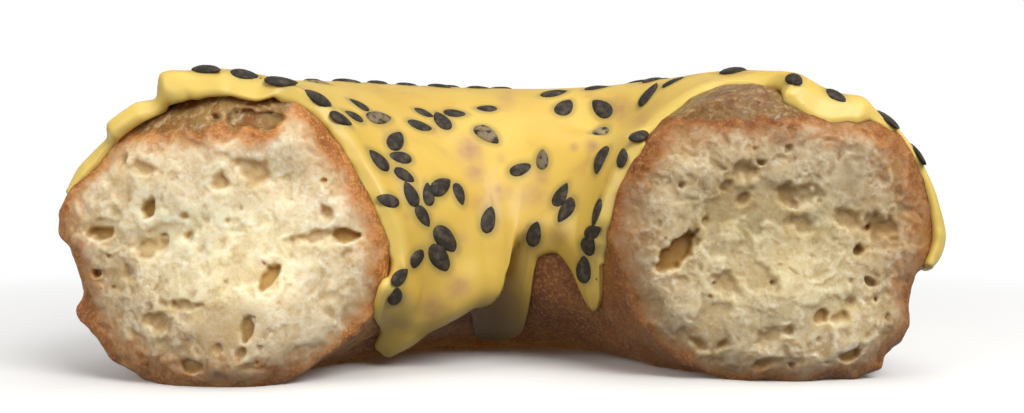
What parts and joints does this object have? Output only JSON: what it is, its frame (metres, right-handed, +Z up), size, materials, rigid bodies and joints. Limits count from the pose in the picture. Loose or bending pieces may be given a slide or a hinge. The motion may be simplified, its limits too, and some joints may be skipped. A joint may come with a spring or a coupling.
{
  "type": "iced ring doughnut half",
  "caption": "Torn half of a fried ring doughnut with a crumb-textured torn end on each side, yellow icing that drips into the half hole, and black sesame seeds set in the icing.",
  "frame": {"origin": "under the middle of the part's box, at the level it rests on", "axes": "+X along the line through both torn ends, +Y towards the uncut back of the ring, +Z up"},
  "size_m": [0.0892, 0.0486, 0.0322],
  "materials": {
    "dough": "fried brown crust with cream crumb where it is torn",
    "icing": "set glossy yellow icing",
    "sesame": "dull black seed coat"
  },
  "bodies": {
    "root": {"dough": "dough", "icing": "icing"}
  },
  "joints": []
}
